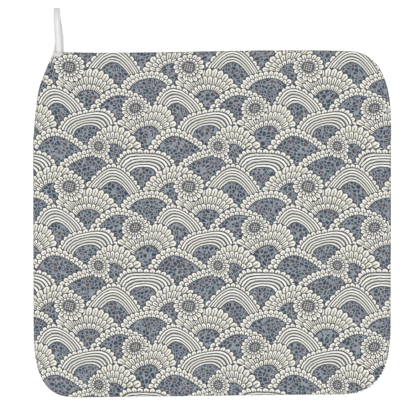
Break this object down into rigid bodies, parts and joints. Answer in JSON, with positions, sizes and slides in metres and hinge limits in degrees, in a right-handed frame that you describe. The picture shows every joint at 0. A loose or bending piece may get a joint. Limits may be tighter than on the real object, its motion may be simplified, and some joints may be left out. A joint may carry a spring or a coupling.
{
  "type": "hanging hand towel",
  "caption": "Nearly square short-pile hand towel with rounded corners, an all-over printed face and a narrow white tape loop at one corner to hang it by.",
  "frame": {"origin": "centre of the towel's flat underside", "axes": "+X to the towel's right seen from its printed face, +Y to the edge with the hanging loop, +Z out of the printed face"},
  "size_m": [0.2998, 0.3261, 0.0072],
  "materials": {
    "printed_towelling": "short sheared pile, printed in cream, slate, navy and mid grey on the face, plain off-white on the back",
    "white_tape": "plain woven white tape with closed edges"
  },
  "bodies": {
    "root": {"towel": "printed_towelling", "hanging_loop": "white_tape"}
  },
  "joints": []
}
